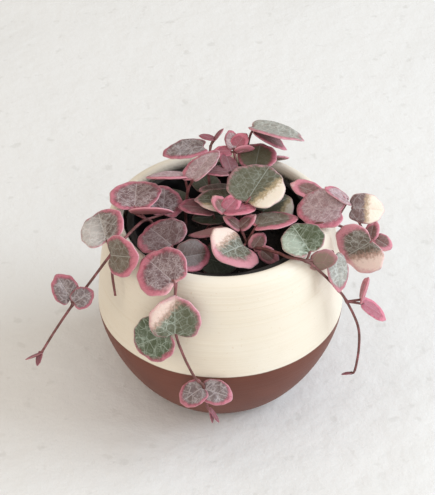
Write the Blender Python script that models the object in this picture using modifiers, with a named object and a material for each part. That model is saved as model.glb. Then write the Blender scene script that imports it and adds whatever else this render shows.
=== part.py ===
# String of hearts in a round two-tone pot.
# Metres, +Z up. The origin is the middle of the pot's flat base, and -Y is the pot's front.
from math import atan2, cos, exp, hypot, pi, radians, sin

import bmesh
import bpy
from mathutils import Matrix, Vector

MM = 0.001
CLEAR = 0.3  # gap between pieces that touch

# Ceramic pot: heights and radii
POT_HEIGHT = 83.0
BELLY_HEIGHT = 40.0
BELLY_RADIUS = 50.0
FOOT_RADIUS = 26.0
CREST_RADIUS = 43.2
FLOOR = 6.0
FLOOR_RADIUS = 28.0
WALL = 5.0
LOWER_BULGE = 1.46
UPPER_BULGE = 1.4
INNER_HEIGHTS = [9, 13, 20, 30, 42, 54, 66, 74, 77]
OUTER_HEIGHTS = [77.5, 72, 62, 51, 40, 30, 20, 12, 6, 2.5, 0.8]
# The rolled lip as radius and height, from the inside of the mouth over to the outer wall
LIP = [(38.9, 79.2), (38.5, 80.8), (38.9, 82.2), (40.1, 83.0), (41.6, 82.8), (43.2, 81.8), (44.5, 80.0)]

# Thin plastic pot that the plant grows in
LINER_BASE_RADIUS = 26.0
LINER_TOP_RADIUS = 35.4
LINER_RIM_RADIUS = 37.2
LINER_TOP = 80.0
LINER_RIM_DEPTH = 5.0
LINER_WALL = 1.2
DRAIN_RADIUS = 2.5
DRAIN_RING = 15.0
DRAINS = 5

# Potting mix
SOIL_TOP = 67.0
STEM_HOLE_RADIUS = 1.15
STEM_DEPTH = 11.0

# Leafy stems
STEM_RADIUS = 0.65
SHOOT_RADIUS = 0.6
PETIOLE_RADIUS = 0.5
STEM_STEP = 4.5
LEAF_THICKNESS = 1.7
LEAF_SIDES = 14
SMALL_LEAF = 9.0
SMALL_LEAF_SIDES = 10
NOTCH_DEPTH = 0.36
NOTCH_SPREAD = 0.42
TIP_LENGTH = 0.10
TIP_SPREAD = 0.30
MIDRIB_FOLD = 11.0
PETIOLE_GRIP = 0.3

ROUND_STEPS = 36

# The plant, in millimetres and degrees. A stem leaves the soil at its root and passes its points.
# A leaf is: the stem point its petiole leaves, the notch that the petiole reaches, the heading
# and rise of its midrib, the roll about it, its length from notch to tip, and its width.
PLANT = {
    "vine_left": {
        "root": (-24, -2),
        "stem": [(-25, -2, 74), (-29, -5, 83), (-37, -19, 84.4), (-41.5, -24, 81.5), (-51, -28, 69),
                 (-57, -33, 63), (-64, -38, 54), (-69.5, -42, 46)],
        "leaves": [
            (1, (-33.5, -2, 86.5), 90, 2, -5, 18, 20.5),
            (1, (-23, 3, 79.5), 88, 10, 15, 16, 16),
            (1, (-34, -8, 89), 0, 3, -42, 16, 11),
            (3, (-43.5, -21, 85), 105, 7, -24, 17, 18.5),
            (3, (-41.5, -27, 83), -35, 20, 70, 14, 16.5),
            (5, (-57.5, -33, 66), 135, 45, -30, 11, 10.5),
            (5, (-56, -35, 66), 25, 20, 45, 8.5, 8.5),
            (7, (-69.5, -42, 46), 190, -20, 30, 7, 3),
            (7, (-69.5, -42, 46), 215, -65, 0, 6, 3.5),
        ],
        "shoot": [(-41.5, -24, 81.5), (-41.5, -28, 74), (-40.5, -31, 66)],
        "shoot_leaves": [],
    },
    "vine_front": {
        "root": (-10, -14),
        "stem": [(-11.5, -15.5, 74), (-18, -26, 83), (-17.5, -38, 85), (-16.5, -44, 83.5),
                 (-17, -46, 77), (-17, -49, 64), (-14, -51, 53), (-9.5, -53, 43), (-6.5, -54, 40),
                 (-5, -54, 29), (-4, -54, 27.5)],
        "leaves": [
            (1, (-18.5, -26, 86.5), 128, 0, -14, 16, 20),
            (1, (-15.5, -31, 84.8), 30, -12, 50, 14, 12.5),
            (4, (-17, -45.5, 84.5), 131, 6, -30, 18, 20.5),
            (5, (-17, -50.5, 64), 90, 78, 0, 16, 20),
            (5, (-19.5, -50, 63.5), 165, -35, -65, 17, 18),
            (8, (-6.8, -54, 39), -160, -28, -27, 10.5, 10.5),
            (8, (-6, -54, 38.5), -15, -10, 40, 11.5, 10),
            (10, (-4, -54, 27.5), 0, -62, 20, 8, 2.5),
            (10, (-4, -54, 27.5), -10, -80, 20, 7.5, 2.5),
        ],
        "shoot": [],
        "shoot_leaves": [],
    },
    "vine_right": {
        "root": (14, -12),
        "stem": [(14, -15.5, 77), (21.5, -23, 81), (25.5, -30, 84.5), (32.3, -32.5, 84.5),
                 (38.3, -30, 77), (45, -29, 68), (49, -29, 61.5), (54, -29, 49), (55, -29.5, 38),
                 (54, -30, 26), (52.5, -30, 24.5)],
        "leaves": [
            (0, (12.7, -15, 76.5), 40, 40, 20, 7.5, 7),
            (0, (16, -17, 77.5), -25, -30, 60, 8.5, 6.5),
            (3, (33.8, -30, 87), 112, 3, -15, 17, 16.5),
            (3, (35, -31, 82.5), 15, 0, -92, 10, 10),
            (6, (55, -27, 61), 0, 80, 0, 11, 8),
            (6, (55.5, -27, 58.5), 10, -42, 20, 14, 8),
            (10, (52.5, -30, 24.5), 180, -10, 20, 4, 2.5),
        ],
        "shoot": [(32.3, -32.5, 84.5), (38, -28.5, 83), (43, -23, 81.5)],
        "shoot_leaves": [
            (2, (43.6, -24, 80), -75, -50, -20, 14, 10),
        ],
    },
    "vine_side": {
        "root": (28, -4),
        "stem": [(29, -5, 74), (32, -8, 81), (38, -10, 85.2), (44, -10, 84.8), (48, -10, 83),
                 (53, -10, 80), (57, -9, 78)],
        "leaves": [
            (3, (46.8, -6, 88), 165, -5, -30, 18, 17),
            (3, (38.5, 4, 88.5), 163, 15, -20, 12, 8.5),
            (3, (49.5, -1.5, 89.5), 190, 38, -3, 12, 8.5),
            (6, (51.5, -2, 86.5), 0, -5, 40, 13, 12.5),
            (6, (58.5, -15.5, 81), 172, -43, -73, 15, 22.5),
            (6, (59, -8, 76), 73, 35, -10, 8, 6),
            (6, (61, -8, 76), -20, -25, 45, 7.5, 6.5),
        ],
        "shoot": [],
        "shoot_leaves": [],
    },
    "crown_front": {
        "root": (6, -8),
        "stem": [(7, -8.5, 72), (10, -11, 76), (8.5, -9, 80)],
        "leaves": [
            (1, (8.7, -18, 80.2), -130, 16, -22, 17, 21.5),
            (1, (14, -10, 83.5), 17, 3, -13, 17, 16),
            (2, (7.2, -8, 81), 155, 30, 0, 8, 6),
            (2, (8, -8, 81), 33, 30, 0, 8, 6.5),
        ],
        "shoot": [],
        "shoot_leaves": [],
    },
    "crown_low": {
        "root": (-6, -8),
        "stem": [(-6, -14, 74.5)],
        "leaves": [
            (0, (-6, -19, 75), 0, -20, 50, 13, 13),
            (0, (0.5, -8, 81.5), -160, -5, -150, 14, 13),
        ],
        "shoot": [],
        "shoot_leaves": [],
    },
    "crown_mid": {
        "root": (1, 3),
        "stem": [(2, 2.5, 73), (5, 0, 80), (2, -4, 86.2)],
        "leaves": [
            (1, (10.5, -1, 89), 62, 14, 8, 20, 23.5),
            (1, (7.5, 4, 83.5), 176, 7, -5, 18, 14),
            (2, (1.8, -4, 86.4), 135, 30, -10, 8, 6.5),
            (2, (2, -3.8, 86.6), 42, 28, 30, 8.5, 7),
            (2, (2.2, -4.2, 86.4), 4, 4, -5, 12, 9),
        ],
        "shoot": [],
        "shoot_leaves": [],
    },
    "crown_dark": {
        "root": (-6, 3),
        "stem": [(-5, 3, 73), (-2, 1, 77.5)],
        "leaves": [
            (1, (-3.5, 2.5, 81.5), 170, 5, 5, 14, 12),
            (1, (1.5, 4, 77.5), -175, 0, 0, 13, 12),
        ],
        "shoot": [],
        "shoot_leaves": [],
    },
    "crown_right": {
        "root": (16, 8),
        "stem": [(16, 5, 76.5)],
        "leaves": [
            (0, (16.5, 5, 79), 39, 2, 20, 15, 17),
        ],
        "shoot": [],
        "shoot_leaves": [],
    },
    "crown_back": {
        "root": (8, 14),
        "stem": [(8, 14.5, 76), (7, 18, 86), (5.5, 25, 94)],
        "leaves": [
            (1, (14, 19, 91), 81, 10, 0, 14, 16),
            (1, (4, 15, 91.5), 105, 13, 30, 11, 9),
            (2, (5, 26, 95.5), 101, 32, 0, 8, 6),
            (2, (5.5, 26, 95), 35, 40, 30, 8, 7),
            (1, (2.5, 12, 93), 175, 5, 10, 10, 9),
            (2, (4, 25, 94.3), 175, 0, -30, 7, 5),
            (2, (6, 25, 94.3), 15, 3, -60, 8, 6.5),
            (1, (5.5, 13, 82.6), 176, 4, 5, 14.5, 10),
            (0, (10, 17, 79), 50, 8, 0, 14, 14),
        ],
        "shoot": [],
        "shoot_leaves": [],
    },
    "crown_tall": {
        "root": (12, 23),
        "stem": [(12, 25, 75), (11.5, 30, 82), (11, 34.5, 89), (12, 35.5, 95), (13.5, 34, 99.5)],
        "leaves": [
            (4, (13.5, 34, 99.8), -16, -4, -18, 21, 19),
            (4, (13.8, 33.4, 98.3), 9, -35, 9, 17, 8.5),
            (1, (18.5, 32, 86), 12, -6, -36, 10, 8),
        ],
        "shoot": [],
        "shoot_leaves": [],
    },
    "crown_left": {
        "root": (-14, 10),
        "stem": [(-14, 10.5, 75), (-13, 10, 86), (-11, 7, 93)],
        "leaves": [
            (2, (-11, 6, 94.5), 56, 16, -23, 17.5, 15),
            (1, (-14.5, 9, 93.5), 180, 0, 20, 15, 10),
            (0, (-15.5, 12.5, 77.5), 140, 3, 5, 12, 12),
        ],
        "shoot": [],
        "shoot_leaves": [],
    },
    "crown_far": {
        "root": (-4, 18),
        "stem": [(-4, 18.5, 76), (-5, 23, 88), (-4, 27, 96)],
        "leaves": [
            (1, (-7, 26, 95.5), -170, -4, 0, 17, 13),
            (2, (-3, 28, 98.5), 175, 12, -10, 6, 3.5),
            (2, (-2.5, 28, 98), 30, 45, -20, 6, 3.5),
            (0, (-4.5, 20, 78.5), 110, 0, 0, 12, 12),
        ],
        "shoot": [],
        "shoot_leaves": [],
    },
}

for old in list(bpy.data.objects):
    bpy.data.objects.remove(old, do_unlink=True)

parts = bpy.data.collections.new("string_of_hearts")
cutters = bpy.data.collections.new("cutters")
bpy.context.scene.collection.children.link(parts)
bpy.context.scene.collection.children.link(cutters)


def material(name, colour, roughness):
    made = bpy.data.materials.new(name)
    made.use_nodes = True
    surface = made.node_tree.nodes["Principled BSDF"]
    surface.inputs["Base Color"].default_value = (*colour, 1.0)
    surface.inputs["Roughness"].default_value = roughness
    surface.inputs["Metallic"].default_value = 0.0
    return made


glaze = material("cream_glaze", (0.82, 0.73, 0.60), 0.35)
black_plastic = material("black_plastic", (0.012, 0.012, 0.012), 0.5)
earth = material("potting_mix", (0.035, 0.024, 0.016), 0.95)
foliage = material("foliage", (0.24, 0.22, 0.17), 0.45)


def turned(name, profile, steps, look):
    # The profile is (radius, height) in millimetres, from the inside over the rim and down.
    mesh = bpy.data.meshes.new(name)
    points = [(radius * MM, 0.0, height * MM) for radius, height in profile]
    mesh.from_pydata(points, [(i, i + 1) for i in range(len(points) - 1)], [])
    body = bpy.data.objects.new(name, mesh)
    parts.objects.link(body)
    screw = body.modifiers.new("turn", 'SCREW')
    screw.steps = steps
    screw.render_steps = steps
    screw.use_merge_vertices = True
    screw.merge_threshold = 0.00005
    screw.use_smooth_shade = True
    mesh.materials.append(look)
    return body


def pot_radius(height):
    if height < BELLY_HEIGHT:
        drop = (BELLY_HEIGHT - height) / BELLY_HEIGHT
        swell = (1.0 - drop ** LOWER_BULGE) ** (1.0 / LOWER_BULGE)
        return FOOT_RADIUS + (BELLY_RADIUS - FOOT_RADIUS) * swell
    climb = (height - BELLY_HEIGHT) / (POT_HEIGHT - BELLY_HEIGHT)
    swell = (1.0 - climb ** UPPER_BULGE) ** (1.0 / UPPER_BULGE)
    return CREST_RADIUS + (BELLY_RADIUS - CREST_RADIUS) * swell


def build_pot():
    inner = [(0, FLOOR), (FLOOR_RADIUS, FLOOR)]
    inner += [(pot_radius(height) - WALL, height) for height in INNER_HEIGHTS]
    outer = [(pot_radius(height), height) for height in OUTER_HEIGHTS]
    return turned("pot", inner + LIP + outer + [(FOOT_RADIUS, 0), (0, 0)], ROUND_STEPS, glaze)


def liner_radius(height):
    base = FLOOR + CLEAR
    share = (height - base) / (LINER_TOP - base)
    return LINER_BASE_RADIUS + (LINER_TOP_RADIUS - LINER_BASE_RADIUS) * share


def cut(body, tool):
    tool.hide_render = True
    tool.display_type = 'WIRE'
    boolean = body.modifiers.new("cut", 'BOOLEAN')
    boolean.operation = 'DIFFERENCE'
    boolean.object = tool


def peg(name, x, y, low, high, radius, sides):
    mesh = bpy.data.meshes.new(name)
    shape = bmesh.new()
    bmesh.ops.create_cone(shape, cap_ends=True, segments=sides, radius1=radius * MM,
                          radius2=radius * MM, depth=(high - low) * MM)
    shape.to_mesh(mesh)
    shape.free()
    tool = bpy.data.objects.new(name, mesh)
    tool.location = (x * MM, y * MM, (high + low) / 2 * MM)
    cutters.objects.link(tool)
    return tool


def build_liner():
    base = FLOOR + CLEAR
    inside = base + LINER_WALL
    rim_low = LINER_TOP - LINER_RIM_DEPTH
    profile = [(0, inside), (liner_radius(inside) - LINER_WALL, inside),
               (liner_radius(LINER_TOP) - LINER_WALL, LINER_TOP - 1.0),
               (LINER_TOP_RADIUS, LINER_TOP), (LINER_RIM_RADIUS, LINER_TOP - 0.6),
               (LINER_RIM_RADIUS, rim_low), (liner_radius(rim_low), rim_low),
               (liner_radius(base + 1), base + 1), (LINER_BASE_RADIUS - 1, base), (0, base)]
    liner = turned("nursery_pot", profile, ROUND_STEPS, black_plastic)
    for number in range(DRAINS):
        turn = 2 * pi * number / DRAINS
        cut(liner, peg(f"drain_{number}", DRAIN_RING * cos(turn), DRAIN_RING * sin(turn),
                       base - 2, inside + 2, DRAIN_RADIUS, 12))
    return liner


def build_soil():
    bottom = FLOOR + 2 * CLEAR + LINER_WALL
    gap = LINER_WALL + 2 * CLEAR
    edge = liner_radius(SOIL_TOP) - gap
    profile = [(0, SOIL_TOP)]
    profile += [(edge * ring / 4, SOIL_TOP) for ring in range(1, 5)]
    profile += [(liner_radius(bottom) - gap, bottom), (0, bottom)]
    soil = turned("soil", profile, 28, earth)
    for name, plan in PLANT.items():
        x, y = plan["root"]
        cut(soil, peg(f"hole_{name}", x, y, SOIL_TOP - STEM_DEPTH - CLEAR, SOIL_TOP + 6,
                      STEM_HOLE_RADIUS, 10))
    return soil


def smooth_route(points):
    # A Catmull-Rom curve through the points, read off about every STEM_STEP.
    ends = [2 * points[0] - points[1]] + points + [2 * points[-1] - points[-2]]
    route = []
    for before, start, end, after in zip(ends, ends[1:], ends[2:], ends[3:]):
        count = max(1, round((end - start).length / (STEM_STEP * MM)))
        for number in range(count):
            t = number / count
            even = 2 * before - 5 * start + 4 * end - after
            odd = 3 * start - before - 3 * end + after
            route.append(0.5 * (2 * start + (end - before) * t + even * t ** 2 + odd * t ** 3))
    route.append(points[-1])
    return route


def tube(name, route, radius, fineness):
    curve = bpy.data.curves.new(name, 'CURVE')
    curve.dimensions = '3D'
    curve.bevel_depth = radius * MM
    curve.bevel_resolution = fineness
    curve.use_fill_caps = True
    line = curve.splines.new('POLY')
    line.points.add(len(route) - 1)
    for point, place in zip(line.points, route):
        point.co = (*place, 1.0)
    drawn = bpy.data.objects.new(name, curve)
    bpy.context.scene.collection.objects.link(drawn)
    seen = drawn.evaluated_get(bpy.context.evaluated_depsgraph_get())
    mesh = bpy.data.meshes.new_from_object(seen)
    bpy.data.objects.remove(drawn, do_unlink=True)
    shape = bmesh.new()
    shape.from_mesh(mesh)
    bmesh.ops.remove_doubles(shape, verts=shape.verts, dist=0.00001)
    shape.to_mesh(mesh)
    shape.free()
    solid = bpy.data.objects.new(name, mesh)
    mesh.materials.append(foliage)
    return solid


def heart_reach(angle):
    # Distance from the leaf's middle to its edge: notched behind, with a small point in front.
    behind = pi - abs(angle)
    notch = NOTCH_DEPTH * exp(-(behind / NOTCH_SPREAD) ** 2)
    point = TIP_LENGTH * exp(-(angle / TIP_SPREAD) ** 2)
    return 1.0 - notch + point


def leaf_frame(notch, heading, rise, roll):
    turn = Matrix.Rotation(radians(heading), 4, 'Z') @ Matrix.Rotation(radians(-rise), 4, 'Y')
    return Matrix.Translation(Vector(notch) * MM) @ turn @ Matrix.Rotation(radians(roll), 4, 'X')


def leaf(name, notch, heading, rise, roll, length, width):
    # A flattened sphere is drawn out to the heart's outline and folded along its midrib.
    half_length = length / (2.0 - NOTCH_DEPTH + TIP_LENGTH)
    middle = half_length * (1.0 - NOTCH_DEPTH)
    thickness = LEAF_THICKNESS * min(1.0, width / 6.0)
    fold = sin(radians(MIDRIB_FOLD))
    small = length < SMALL_LEAF
    shape = bmesh.new()
    bmesh.ops.create_uvsphere(shape, u_segments=SMALL_LEAF_SIDES if small else LEAF_SIDES,
                              v_segments=4, radius=1.0)
    for corner in shape.verts:
        reach = heart_reach(atan2(corner.co.y, corner.co.x))
        along = middle + half_length * reach * corner.co.x
        across = width / 2 * reach * corner.co.y
        above = thickness / 2 * corner.co.z + fold * abs(across)
        corner.co = Vector((along, across, above)) * MM
    shape.transform(leaf_frame(notch, heading, rise, roll))
    mesh = bpy.data.meshes.new(name)
    shape.to_mesh(mesh)
    shape.free()
    return bpy.data.objects.new(name, mesh)


def leaves_on(name, route, leaves):
    # Each leaf with the petiole that runs from its stem point, past its notch, into its blade.
    grown = []
    for number, (joint, notch, heading, rise, roll, length, width) in enumerate(leaves):
        start = route[joint]
        turned_frame = leaf_frame(notch, heading, rise, roll)
        grip = PETIOLE_GRIP * length / (2.0 - NOTCH_DEPTH + TIP_LENGTH)
        end = turned_frame @ Vector((grip * MM, 0.0, 0.0))
        stalk = [start, turned_frame.translation, end]
        if (stalk[1] - start).length < 0.001:
            stalk = [start, end]
        grown.append(tube(f"{name}_petiole_{number}", stalk, PETIOLE_RADIUS, 0))
        grown.append(leaf(f"{name}_leaf_{number}", notch, heading, rise, roll, length, width))
    return grown


def build_vine(name, plan):
    x, y = plan["root"]
    bottom = SOIL_TOP - STEM_DEPTH
    buried = [Vector((x, y, height)) * MM for height in (bottom, SOIL_TOP - 3, SOIL_TOP + 2)]
    stem_points = [Vector(point) * MM for point in plan["stem"]]
    stem = tube(name, smooth_route(buried + stem_points), STEM_RADIUS, 1)
    parts.objects.link(stem)
    grown = leaves_on(name, stem_points, plan["leaves"])
    if plan["shoot"]:
        shoot_points = [Vector(point) * MM for point in plan["shoot"]]
        grown.append(tube(f"{name}_shoot", smooth_route(shoot_points), SHOOT_RADIUS, 1))
        grown += leaves_on(f"{name}_shoot", shoot_points, plan["shoot_leaves"])
    join(stem, grown)
    return stem


def join(stem, grown):
    group = bpy.data.collections.new(f"{stem.name}_growth")
    bpy.context.scene.collection.children.link(group)
    for piece in grown:
        group.objects.link(piece)
    union = stem.modifiers.new("grow", 'BOOLEAN')
    union.operation = 'UNION'
    union.operand_type = 'COLLECTION'
    union.collection = group
    union.solver = 'EXACT'
    seen = stem.evaluated_get(bpy.context.evaluated_depsgraph_get())
    whole = bpy.data.meshes.new_from_object(seen)
    stem.modifiers.clear()
    stem.data = whole
    for piece in list(group.objects):
        bpy.data.objects.remove(piece, do_unlink=True)
    bpy.data.collections.remove(group)


build_pot()
build_liner()
build_soil()
for vine_name, vine_plan in PLANT.items():
    build_vine(vine_name, vine_plan)
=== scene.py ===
# Looks for the string of hearts in its round two-tone pot.
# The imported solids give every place. Plans are in millimetres and degrees, Blender's mesh in metres.
import random
from math import acos, atan2, cos, exp, hypot, pi, radians, sin

import bmesh
import bpy
from mathutils import Matrix, Vector, noise


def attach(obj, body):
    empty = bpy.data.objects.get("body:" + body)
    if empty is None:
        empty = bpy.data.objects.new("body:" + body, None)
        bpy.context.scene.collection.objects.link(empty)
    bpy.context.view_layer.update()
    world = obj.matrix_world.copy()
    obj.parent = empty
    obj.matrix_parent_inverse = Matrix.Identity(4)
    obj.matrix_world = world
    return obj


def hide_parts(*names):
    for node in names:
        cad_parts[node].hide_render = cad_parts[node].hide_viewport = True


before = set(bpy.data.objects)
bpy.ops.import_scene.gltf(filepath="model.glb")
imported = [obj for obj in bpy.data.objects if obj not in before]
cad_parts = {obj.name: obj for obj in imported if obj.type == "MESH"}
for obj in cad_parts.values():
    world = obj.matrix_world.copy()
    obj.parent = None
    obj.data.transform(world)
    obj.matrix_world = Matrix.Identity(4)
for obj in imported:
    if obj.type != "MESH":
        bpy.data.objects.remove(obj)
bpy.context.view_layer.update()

mm = 0.001
print("frame loaded")


# Helpers for meshes.

def deselectAll():
    if bpy.context.object and bpy.context.object.mode != 'OBJECT':
        bpy.ops.object.mode_set(mode='OBJECT')
    bpy.ops.object.select_all(action='DESELECT')


def makeActive(piece):
    deselectAll()
    piece.select_set(True)
    bpy.context.view_layer.objects.active = piece


def newest(name):
    piece = bpy.context.active_object
    piece.name = name
    piece.data.name = name
    return piece


def joinInto(first, others):
    makeActive(first)
    for other in others:
        other.select_set(True)
    bpy.ops.object.join()
    return first


def placeInMesh(piece):
    makeActive(piece)
    bpy.ops.object.transform_apply(location=True, rotation=True, scale=True)


def applyAll(piece):
    makeActive(piece)
    for modifier in list(piece.modifiers):
        bpy.ops.object.modifier_apply(modifier=modifier.name)


def smoothRoute(points, step):
    ends = [2 * points[0] - points[1]] + points + [2 * points[-1] - points[-2]]
    route, marks = [], []
    for before, start, end, after in zip(ends, ends[1:], ends[2:], ends[3:]):
        marks.append(len(route))
        count = max(1, round((end - start).length / step))
        for number in range(count):
            t = number / count
            even = 2 * before - 5 * start + 4 * end - after
            odd = 3 * start - before - 3 * end + after
            route.append(0.5 * (2 * start + (end - before) * t + even * t ** 2 + odd * t ** 3))
    marks.append(len(route))
    route.append(points[-1])
    return route, marks


def srgb(red, green, blue):
    # a colour as a picture program gives it, 0 to 255, made linear
    def linear(level):
        level = level / 255
        return level / 12.92 if level < 0.04045 else ((level + 0.055) / 1.055) ** 2.4
    return (linear(red), linear(green), linear(blue), 1.0)


# Shader maths as expressions.

class Wire:
    # one output of a node, which can be added, multiplied and compared like a number
    def __init__(self, sheet, socket):
        self.sheet = sheet
        self.socket = socket

    def maths(self, operation, first, second=None):
        values = {0: first} if second is None else {0: first, 1: second}
        return self.sheet.add('ShaderNodeMath', {"operation": operation}, values)

    def __add__(self, other):
        return self.maths('ADD', self, other)

    def __radd__(self, other):
        return self.maths('ADD', other, self)

    def __sub__(self, other):
        return self.maths('SUBTRACT', self, other)

    def __rsub__(self, other):
        return self.maths('SUBTRACT', other, self)

    def __mul__(self, other):
        return self.maths('MULTIPLY', self, other)

    def __rmul__(self, other):
        return self.maths('MULTIPLY', other, self)

    def __pow__(self, other):
        return self.maths('POWER', self, other)

    def size(self):
        return self.maths('ABSOLUTE', self)

    def highest(self, other):
        return self.maths('MAXIMUM', self, other)

    def part(self):
        return self.maths('FRACT', self)


class NodeSheet:
    # a material and the one way that nodes are added to it
    def __init__(self, name):
        self.material = bpy.data.materials.new(name)
        self.material.use_nodes = True
        self.tree = self.material.node_tree
        self.skin = self.tree.nodes["Principled BSDF"]

    def add(self, kind, settings=None, values=None, output=0):
        node = self.tree.nodes.new(kind)
        for key, value in (settings or {}).items():
            setattr(node, key, value)
        for key, value in (values or {}).items():
            self.feed(node.inputs[key], value)
        return Wire(self, node.outputs[output])

    def feed(self, socket, value):
        if isinstance(value, Wire):
            self.tree.links.new(value.socket, socket)
        else:
            socket.default_value = value

    def attribute(self, name, output="Vector"):
        return self.add('ShaderNodeAttribute', {"attribute_name": name}, output=output)

    def split(self, vector):
        node = self.add('ShaderNodeSeparateXYZ', values={0: vector}).socket.node
        return [Wire(self, socket) for socket in node.outputs]

    def join(self, x, y, z):
        return self.add('ShaderNodeCombineXYZ', values={0: x, 1: y, 2: z})

    def place(self, scale=(1, 1, 1)):
        spot = self.add('ShaderNodeTexCoord', output="Object")
        return self.add('ShaderNodeMapping', values={"Vector": spot, "Scale": scale})

    def noise(self, vector, scale, detail=2.0, rough=0.5, output="Fac"):
        return self.add('ShaderNodeTexNoise', values={
            "Vector": vector, "Scale": scale, "Detail": detail, "Roughness": rough}, output=output)

    def step(self, low, high, value):
        # 0 below low, 1 above high, smooth between; low may be the larger
        return self.add('ShaderNodeMapRange', {"interpolation_type": 'SMOOTHSTEP'}, {
            "Value": value, "From Min": low, "From Max": high})

    def blend(self, first, second, factor):
        return self.add('ShaderNodeMix', {"data_type": 'RGBA'}, {0: factor, 6: first, 7: second}, output=2)

    def net(self, vector, scale):
        # the distance to the nearest line of an uneven net
        return self.add('ShaderNodeTexVoronoi', {"feature": 'DISTANCE_TO_EDGE'},
                        {"Vector": vector, "Scale": scale})

    def vector(self, operation, first, second):
        return self.add('ShaderNodeVectorMath', {"operation": operation}, {0: first, 1: second})

    def stretch(self, vector, amount):
        return self.add('ShaderNodeVectorMath', {"operation": 'SCALE'}, {0: vector, "Scale": amount})

    def finish(self, colour, roughness, height=None, depth=0.0001, **constants):
        self.feed(self.skin.inputs["Base Color"], colour)
        self.feed(self.skin.inputs["Roughness"], roughness)
        for name, value in constants.items():
            self.skin.inputs[name.replace("_", " ")].default_value = value
        if height is not None:
            bump = self.add('ShaderNodeBump', values={
                "Height": height, "Distance": depth, "Strength": 1.0})
            self.feed(self.skin.inputs["Normal"], bump)
        return self.material


# The ceramic pot.

potForm = {
    "height": 83.0, "bellyHeight": 40.0, "bellyRadius": 50.0, "footRadius": 26.0,
    "crestRadius": 43.2, "floorRadius": 28.0, "wall": 5.0, "lowerBulge": 1.46, "upperBulge": 1.4,
    "lip": [(44.5, 80.0), (43.2, 81.8), (41.6, 82.8), (40.1, 83.0), (38.9, 82.2), (38.5, 80.8), (38.9, 79.2)],
    "sides": 120, "ringStep": 0.9, "footStep": 0.6, "footHeight": 4.0, "footInset": 0.9, "footRound": 0.35,
    "floorTop": 6.0, "throwRipple": 0.02, "throwSpacing": 3.1, "calmBelowTop": 5.0, "calmLength": 8.0,
    "insideHeights": (77.5, 76, 74, 70, 66, 60, 54, 48, 42, 36, 30, 25, 20, 16, 13, 10.5, 9),
}

potGlaze = {
    "border": 40.6, "borderWave": 0.25, "borderSoft": 0.22,
    "cream": srgb(231, 221, 204), "creamDeep": srgb(220, 203, 177), "creamPale": srgb(236, 229, 216),
    "brown": srgb(112, 63, 49), "brownDeep": srgb(92, 49, 38), "brownPale": srgb(130, 77, 61),
    "clay": srgb(190, 160, 130),
}


def potRadius(height):
    form = potForm
    if height < form["bellyHeight"]:
        drop = (form["bellyHeight"] - height) / form["bellyHeight"]
        swell = (1 - drop ** form["lowerBulge"]) ** (1 / form["lowerBulge"])
        return form["footRadius"] + (form["bellyRadius"] - form["footRadius"]) * swell
    climb = (height - form["bellyHeight"]) / (form["height"] - form["bellyHeight"])
    swell = (1 - climb ** form["upperBulge"]) ** (1 / form["upperBulge"])
    return form["crestRadius"] + (form["bellyRadius"] - form["crestRadius"]) * swell


def turnOnWheel(name, profile, sides):
    # The profile is a list of (radius, height). A ring of edges follows it up, out and in again.
    # The first ring is filled, and a copy of its edges is drawn up, so that the far end can be filled too.
    deselectAll()
    radius, height = profile[0]
    bpy.ops.mesh.primitive_circle_add(vertices=sides, radius=radius * mm, location=(0, 0, height * mm))
    body = newest(name)
    placeInMesh(body)
    bpy.ops.object.mode_set(mode='EDIT')
    bpy.ops.mesh.select_mode(type='EDGE')
    bpy.ops.mesh.select_all(action='SELECT')
    bpy.ops.mesh.edge_face_add()
    bpy.ops.mesh.duplicate()
    bpy.ops.mesh.delete(type='ONLY_FACE')
    shape = bmesh.from_edit_mesh(body.data)
    for edge in shape.edges:
        edge.select_set(not edge.link_faces)
    bmesh.update_edit_mesh(body.data)
    for nextRadius, nextHeight in profile[1:]:
        bpy.ops.mesh.extrude_edges_move(TRANSFORM_OT_translate={"value": (0, 0, (nextHeight - height) * mm)})
        share = nextRadius / radius
        bpy.ops.transform.resize(value=(share, share, 1), center_override=(0, 0, 0))
        radius, height = nextRadius, nextHeight
    bpy.ops.mesh.edge_face_add()
    bpy.ops.mesh.select_all(action='SELECT')
    bpy.ops.mesh.remove_doubles(threshold=0.000005)
    bpy.ops.mesh.normals_make_consistent(inside=False)
    bpy.ops.object.mode_set(mode='OBJECT')
    return body


def potProfile():
    form = potForm
    profile = [(form["footRadius"] - form["footInset"], 0.0), (form["footRadius"], form["footRound"])]
    height = form["ringStep"]
    while height < form["lip"][0][1] - form["footStep"]:
        ripple = 0.0
        if height > potGlaze["border"] + 1:
            # the lip is wiped smooth
            calm = min(1.0, (form["height"] - form["calmBelowTop"] - height) / form["calmLength"])
            ripple = form["throwRipple"] * max(0.0, calm) * sin(2 * pi * height / form["throwSpacing"])
        profile.append((potRadius(height) + ripple, height))
        height += form["ringStep"] if height > form["footHeight"] else form["footStep"]
    lip, _ = smoothRoute([Vector((radius, 0, height)) for radius, height in form["lip"]], 0.4)
    profile += [(point.x, point.z) for point in lip]
    for height in form["insideHeights"]:
        profile.append((potRadius(height) - form["wall"], height))
    floor, radius = form["floorTop"], form["floorRadius"]
    return profile + [(radius + 0.8, floor + 1.0), (radius, floor + 0.2), (radius - 1, floor)]


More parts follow.
